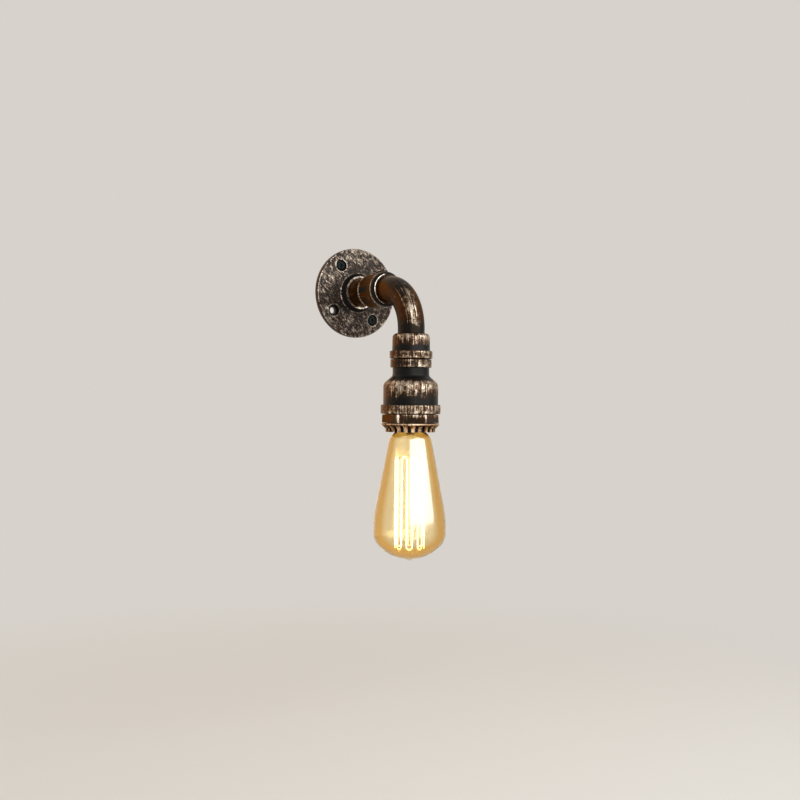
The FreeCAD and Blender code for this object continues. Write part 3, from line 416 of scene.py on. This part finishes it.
def sleeve(name, colour, second=None):
    """Wire insulation, in one colour or in two that meet along the wire."""
    dust, seam = (0.35, 0.32, 0.28, 1.0), 0.1 * MM
    paint = new_paint(name)
    place = paint.place()
    scuff = paint.noise(place, 700.0, detail=3.0)
    if second is not None:
        x = paint.axes(place)[0]
        colour = paint.mix(paint.step(x, -seam, seam), colour, second)
    colour = paint.mix(paint.step(scuff, 0.45, 0.9) * 0.5, colour, dust)
    return paint.surface(
        base_color=colour, roughness=0.42 + scuff * 0.2, normal=paint.bump(scuff, 0.05 * MM, 0.4))


def amber_glass(name):
    """Clear glass with an amber tint that deepens where the wall is seen edge on, partly the glass's own
    tint along a longer path and partly a painted reflection of warm surroundings.
    """
    straw, amber = (0.98, 0.87, 0.57, 1.0), (0.90, 0.61, 0.19, 1.0)
    paint = new_paint(name)
    ripple = paint.noise(paint.place(), 45.0, detail=2.0)
    edge_on = paint.node("ShaderNodeLayerWeight", None, {"Blend": 0.5}, output="Facing")
    # Painted reflection: part of the deeper amber at the edge stands for warm surroundings seen in the
    # glass.
    return paint.surface(
        base_color=paint.mix(paint.step(edge_on, 0.16, 0.42), straw, amber), roughness=0.012, ior=1.32,
        transmission_weight=1.0, coat_weight=1.0 - paint.step(edge_on, 0.26, 0.44) * 0.95,
        coat_ior=2.15, coat_roughness=0.17, normal=paint.bump(ripple, 0.4 * MM, 0.25))


def clear_glass(name):
    """Nearly colourless glass with faint seeds."""
    clear, straw = (1.0, 0.96, 0.88, 1.0), (1.0, 0.9, 0.7, 1.0)
    paint = new_paint(name)
    seed = paint.noise(paint.place(), 180.0, detail=2.0)
    return paint.surface(
        base_color=paint.mix(seed, clear, straw), roughness=0.04, ior=1.2, transmission_weight=1.0,
        normal=paint.bump(seed, 0.3 * MM, 0.3))


def glowing_wire(name):
    """A hot filament: nearly white along the middle of each strand and warmer towards its hooks."""
    white_heat, orange_heat = (1.0, 0.90, 0.68, 1.0), (1.0, 0.6, 0.22, 1.0)
    dark_wire, light_wire = (0.2, 0.15, 0.1, 1.0), (0.3, 0.22, 0.12, 1.0)
    near_hooks = [(0.0, 1.0), (0.06, 0.5), (0.2, 0.0), (0.8, 0.0), (0.94, 0.5), (1.0, 1.0)]
    paint = new_paint(name)
    place = paint.place()
    z = paint.axes(place)[2]
    low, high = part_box("filament")
    warm = paint.ramp((z - low.z) / (high.z - low.z), near_hooks)
    flicker = paint.noise(place, 1300.0, detail=2.0)
    return paint.surface(
        base_color=paint.mix(flicker, dark_wire, light_wire), roughness=0.5,
        emission_color=paint.mix(warm * 0.8 + flicker * 0.2, white_heat, orange_heat), emission_strength=8.0)


def black_vitrite(name):
    """Glossy black glass."""
    black, grey = (0.012, 0.012, 0.014, 1.0), (0.05, 0.045, 0.05, 1.0)
    paint = new_paint(name)
    cloud = paint.noise(paint.place(), 300.0, detail=3.0)
    return paint.surface(
        base_color=paint.mix(cloud, black, grey), roughness=0.12 + cloud * 0.15,
        normal=paint.bump(cloud, 0.2 * MM, 0.3))


def blackened_steel(name):
    """Blackened screws with greyish scuffs."""
    black, grey = (0.003, 0.005, 0.005, 1.0), (0.026, 0.030, 0.029, 1.0)
    paint = new_paint(name)
    scuff = paint.noise(paint.place(), 900.0, detail=4.0, rough=0.6)
    return paint.surface(
        base_color=paint.mix(paint.step(scuff, 0.45, 0.8), black, grey), metallic=0.4,
        specular_ior_level=0.1, roughness=0.34 + scuff * 0.2, normal=paint.bump(scuff, 0.05 * MM, 0.5))


def dress(material, *names):
    """Give CAD nodes a finish."""
    for name in names:
        slots = nodes[name].material_slots
        for slot in slots:
            slot.link = "OBJECT"
            slot.material = material
        if not slots:
            nodes[name].data.materials.append(material)


def settle(mesh, name, body, material):
    """Turn a finished bmesh into a piece that rides on a body."""
    bmesh.ops.recalc_face_normals(mesh, faces=mesh.faces)
    data = bpy.data.meshes.new(name)
    mesh.to_mesh(data)
    mesh.free()
    data.shade_smooth()
    data.set_sharp_from_angle(angle=SHARP_EDGE)
    data.materials.append(material)
    piece = bpy.data.objects.new(name, data)
    bpy.context.scene.collection.objects.link(piece)
    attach(piece, body)
    return piece


def draw_out(mesh, ring, radius, height):
    """Extend an open ring of edges to a new radius and height about Z, and return the new ring."""
    made = bmesh.ops.extrude_edge_only(mesh, edges=ring)["geom"]
    verts = [item for item in made if isinstance(item, bmesh.types.BMVert)]
    for vert in verts:
        vert.co.xy = vert.co.xy.normalized() * radius
        vert.co.z = height
    return [item for item in made if isinstance(item, bmesh.types.BMEdge) and set(item.verts) <= set(verts)]


def smooth(value, low, high):
    """0 at low, 1 at high, smooth between."""
    share = min(max((value - low) / (high - low), 0.0), 1.0)
    return share * share * (3.0 - 2.0 * share)


def rolled_cap(material):
    """The bulb's thin cap: a plain skirt round the glass, a rolled right-hand thread, and a rounded top."""
    skirt, thread_end, thread_depth, run_in = 9.4 * MM, 21.8 * MM, 0.8 * MM, THREAD_PITCH / 2
    sheet, hole, top_round, row = 0.45 * MM, 8.0 * MM, 1.4 * MM, 0.25 * MM
    radius, length = (cap_high.x - cap_low.x) / 2, cap_high.z - cap_low.z
    mesh = bmesh.new()
    bmesh.ops.create_circle(mesh, segments=ROUND_SIDES, radius=radius)
    ring = mesh.edges[:]
    for step in range(1, round(length / row) + 1):
        ring = draw_out(mesh, ring, radius, step * row)
    for vert in mesh.verts:
        angle = math.atan2(vert.co.y, vert.co.x)
        wave = 0.5 - 0.5 * math.cos(2 * math.pi * vert.co.z / THREAD_PITCH - angle)
        start = smooth(vert.co.z, skirt, skirt + run_in)
        end = smooth(vert.co.z, thread_end - run_in, thread_end)
        vert.co.xy *= 1 - thread_depth * (start * wave * (1 - end) + end) / radius
    draw_out(mesh, ring, hole, length)
    bmesh.ops.bevel(
        mesh, geom=ring, offset=top_round, affect="EDGES", segments=5, profile=0.5, material=-1,
        clamp_overlap=True)
    bmesh.ops.translate(mesh, verts=mesh.verts, vec=(drop_x, drop_y, cap_low.z))
    piece = settle(mesh, "rolled_cap", "bulb", material)
    wall = piece.modifiers.new("sheet", "SOLIDIFY")
    wall.thickness = sheet
    wall.offset = -1.0
    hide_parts("bulb_cap")


def wall_screw(name, angle, material):
    """A screw with a cross recess, whose head lies in a seat of the flange."""
    half_slot, slot_end, middle_end = 0.55 * MM, 2.1 * MM, 2.6 * MM
    slot_depth, slot_taper = 1.3 * MM, 0.55
    flat_radius, flat_depth, head_depth = 3.7 * MM, 0.15 * MM, 1.9 * MM
    head_radius, shank_radius, shank_end = 5.0 * MM, 2.4 * MM, 5.0 * MM
    head = (
        (4.5 * MM, 0.45 * MM), (4.95 * MM, 0.95 * MM), (head_radius, 1.3 * MM), (head_radius, head_depth),
        (shank_radius, head_depth), (shank_radius, shank_end))
    lines = (-middle_end, -slot_end, -half_slot, 0.0, half_slot, slot_end, middle_end)
    half = len(lines) // 2
    mesh = bmesh.new()
    bmesh.ops.create_grid(mesh, x_segments=2 * half, y_segments=2 * half, size=half)
    for vert in mesh.verts:
        vert.co.x = lines[round(vert.co.x) + half]
        vert.co.y = lines[round(vert.co.y) + half]
    cross = []
    for face in mesh.faces:
        middle = face.calc_center_median()
        narrow, wide = sorted((abs(middle.x), abs(middle.y)))
        if narrow < half_slot and wide < slot_end:
            cross.append(face)
    rim = [edge for edge in mesh.edges if edge.is_boundary]
    sunk = bmesh.ops.extrude_face_region(mesh, geom=cross)["geom"]
    bmesh.ops.delete(mesh, geom=[face for face in cross if face.is_valid], context="FACES_ONLY")
    sunk = [item for item in sunk if isinstance(item, bmesh.types.BMVert)]
    bmesh.ops.translate(mesh, verts=sunk, vec=(0.0, 0.0, -slot_depth))
    bmesh.ops.scale(mesh, verts=sunk, vec=(slot_taper, slot_taper, 1.0))
    circle = bmesh.ops.create_circle(mesh, segments=len(rim), radius=flat_radius)["verts"]
    bmesh.ops.translate(mesh, verts=circle, vec=(0.0, 0.0, -flat_depth))
    ring = list({edge for vert in circle for edge in vert.link_edges})
    bmesh.ops.bridge_loops(mesh, edges=rim + ring)
    for radius, depth in head:
        ring = draw_out(mesh, ring, radius, -depth)
    bmesh.ops.edgeloop_fill(mesh, edges=ring)
    bmesh.ops.rotate(mesh, verts=mesh.verts, matrix=Matrix.Rotation(math.radians(90.0), 3, "X"))
    bmesh.ops.translate(mesh, verts=mesh.verts, vec=(
        HOLE_CIRCLE * math.cos(angle), -SEAT_FLOOR - head_depth, HOLE_CIRCLE * math.sin(angle)))
    settle(mesh, name, "lamp", material)


# The fittings, from the wall to the bulb
dress(flange_patina("flange_mottled_bronze"), "wall_flange")
dress(arm_patina("nipple_brown_bronze", NIPPLE_WEAR, 0.55), "arm_nipple", "close_nipple")
dress(arm_patina("coupling_brown_bronze", COUPLING_WEAR, 0.6, COUPLING_FLATS), "arm_coupling")
dress(elbow_patina("elbow_brown_bronze"), "elbow")
dress(drop_patina("collar_streaked_bronze", "drop_coupling", COLLAR_WEAR, 0.05), "drop_coupling")
dress(drop_patina("bell_streaked_bronze", "bell_reducer", BELL_WEAR, 0.0), "bell_reducer")
HEX_BRONZE = drop_patina("hex_worn_bronze", "hex_bushing", HEX_WEAR, 0.12, HEX_CORNERS, gleam=WARM_GLEAM)
dress(HEX_BRONZE, "hex_bushing")
CROWN_BRONZE = drop_patina(
    "crown_worn_bronze", "crown_ring", CROWN_WEAR, 0.4, CROWN_SLOTS, RED_TONES, WARM_GLEAM)
dress(CROWN_BRONZE, "crown_ring")

# The lamp holder and its leads
BRASS = plain_metal("holder_brass", (0.78, 0.56, 0.24, 1.0), (0.45, 0.30, 0.14, 1.0), 0.32)
STEEL = plain_metal("zinc_steel", (0.62, 0.62, 0.61, 1.0), (0.36, 0.35, 0.34, 1.0), 0.38)
BARE_COPPER = plain_metal("bare_copper", (0.80, 0.42, 0.24, 1.0), (0.45, 0.20, 0.10, 1.0), 0.3)
dress(glazed_porcelain("white_porcelain"), "socket_body")
dress(BRASS, "screw_shell", "centre_contact", "earth_tag")
dress(STEEL, "terminal_screws", "socket_bracket", "bracket_screws", "holder_tube", "lock_nuts")
dress(sleeve("brown_sleeve", (0.11, 0.04, 0.015, 1.0)), "live_lead")
dress(sleeve("blue_sleeve", (0.02, 0.08, 0.38, 1.0)), "neutral_lead")
dress(sleeve("striped_sleeve", (0.06, 0.30, 0.04, 1.0), (0.75, 0.60, 0.05, 1.0)), "earth_lead")
dress(BARE_COPPER, "lead_cores")

# The bulb
CAP_BRASS = plain_metal("cap_brass", (0.82, 0.63, 0.30, 1.0), (0.50, 0.36, 0.17, 1.0), 0.28)
DRAWN_WIRE = plain_metal("drawn_wire", (0.42, 0.36, 0.28, 1.0), (0.25, 0.20, 0.14, 1.0), 0.4)
SOLDER = plain_metal("dull_solder", (0.55, 0.55, 0.54, 1.0), (0.34, 0.34, 0.33, 1.0), 0.45)
dress(CAP_BRASS, "bulb_cap")
dress(black_vitrite("black_vitrite"), "cap_insulator")
dress(SOLDER, "contact_tip")
dress(amber_glass("amber_glass"), "bulb_glass")
dress(clear_glass("stem_glass"), "glass_stem")
dress(DRAWN_WIRE, "lead_in_wires", "support_wires")
dress(glowing_wire("hot_filament"), "filament")
rolled_cap(CAP_BRASS)

# The two screws, in opposite holes
SCREW_BLACK = blackened_steel("screw_black")
for side, quarter in (("upper", 1), ("lower", 3)):
    wall_screw(f"wall_screw_{side}", HOLE_TURN + quarter * math.pi / 2, SCREW_BLACK)

# The studio: colours, then sizes and places in metres, angles in degrees and the lens in mm
PALE = (0.68, 0.645, 0.60, 1.0)
FLOOR_GREY = (0.84, 0.81, 0.77, 1.0)
FILL_WHITE = (0.92, 0.88, 0.83, 1.0)
FILL_LEVEL = 0.42
COOL_WHITE = (0.93, 0.975, 1.0)
WARM_BOUNCE = (1.0, 0.62, 0.28)
FLOOR_RADIUS = 8.0
FLOOR_DROP = 0.16
LIT_PLACE = (0.0, drop_y, -0.14)
CAMERA_PLACE = (-0.6006, -1.0217, -0.1008)
CAMERA_TURN = -32.6
CAMERA_ROLL = -0.5
CAMERA_LENS = 56.07
CAMERA_SENSOR = 36.0


def pale_floor():
    """A wide pale floor that fades into the backdrop's colour away from the lamp."""
    mesh = bmesh.new()
    bmesh.ops.create_circle(mesh, cap_ends=True, segments=ROUND_SIDES, radius=FLOOR_RADIUS)
    bmesh.ops.translate(mesh, verts=mesh.verts, vec=(0.0, drop_y, cad_box[0].z - FLOOR_DROP))
    data = bpy.data.meshes.new("floor")
    mesh.to_mesh(data)
    mesh.free()
    floor = bpy.data.objects.new("floor", data)
    bpy.context.scene.collection.objects.link(floor)
    paint = new_paint("pale_floor")
    x, y, _ = paint.axes(paint.place())
    faded = paint.step(distance(x, y - drop_y), 0.1, 0.9) * 0.6 + 0.4
    lit = paint.node("ShaderNodeBsdfDiffuse", None, {"Color": FLOOR_GREY})
    far = paint.node("ShaderNodeEmission", None, {"Color": PALE})
    shader = paint.node("ShaderNodeMixShader", None, {0: faded, 1: lit, 2: far})
    paint.node("ShaderNodeOutputMaterial", None, {"Surface": shader})
    data.materials.append(paint.owner)


def soft_light(name, place, width, height, power, colour, through_glass):
    """A rectangular light that shines on the lamp and that the camera doesn't see."""
    lamp = bpy.data.lights.new(name, "AREA")
    lamp.shape = "RECTANGLE"
    lamp.size = width
    lamp.size_y = height
    lamp.energy = power
    lamp.color = colour
    holder = bpy.data.objects.new(name, lamp)
    holder.location = place
    holder.rotation_euler = (Vector(LIT_PLACE) - Vector(place)).to_track_quat("-Z", "Y").to_euler()
    holder.visible_camera = False
    holder.visible_transmission = through_glass
    bpy.context.scene.collection.objects.link(holder)


def studio_world():
    """A pale backdrop, seen directly, in metal and through glass, and a soft fill for all other light."""
    world = bpy.data.worlds.new("studio")
    bpy.context.scene.world = world
    paint = Paint(world)
    path = paint.node("ShaderNodeLightPath", output="Is Camera Ray")
    seen = path
    for ray in ("Is Glossy Ray", "Is Transmission Ray"):
        seen = seen.math("MAXIMUM", path.out(ray))
    backdrop = paint.node("ShaderNodeBackground", None, {"Color": PALE})
    fill = paint.node("ShaderNodeBackground", None, {"Color": FILL_WHITE, "Strength": FILL_LEVEL})
    both = paint.node("ShaderNodeMixShader", None, {0: seen, 1: fill, 2: backdrop})
    paint.node("ShaderNodeOutputWorld", None, {"Surface": both})


def photo_camera():
    """The photograph's view: level, turned from square to the wall, and rolled a little."""
    camera = bpy.data.cameras.new("camera")
    camera.lens = CAMERA_LENS
    camera.sensor_width = CAMERA_SENSOR
    camera.sensor_fit = "HORIZONTAL"
    holder = bpy.data.objects.new("camera", camera)
    holder.location = CAMERA_PLACE
    holder.rotation_euler = [math.radians(angle) for angle in (90.0, CAMERA_ROLL, CAMERA_TURN)]
    bpy.context.scene.collection.objects.link(holder)
    bpy.context.scene.camera = holder


pale_floor()
studio_world()
soft_light(
    "key", place=(0.19, -1.175, 0.30), width=2.1, height=1.02, power=20.5, colour=COOL_WHITE,
    through_glass=True)
soft_light(
    "bounce", place=(-0.35, 0.75, 0.0), width=2.8, height=2.2, power=9.0, colour=WARM_BOUNCE,
    through_glass=False)
photo_camera()
bpy.context.scene.view_settings.view_transform = "Standard"
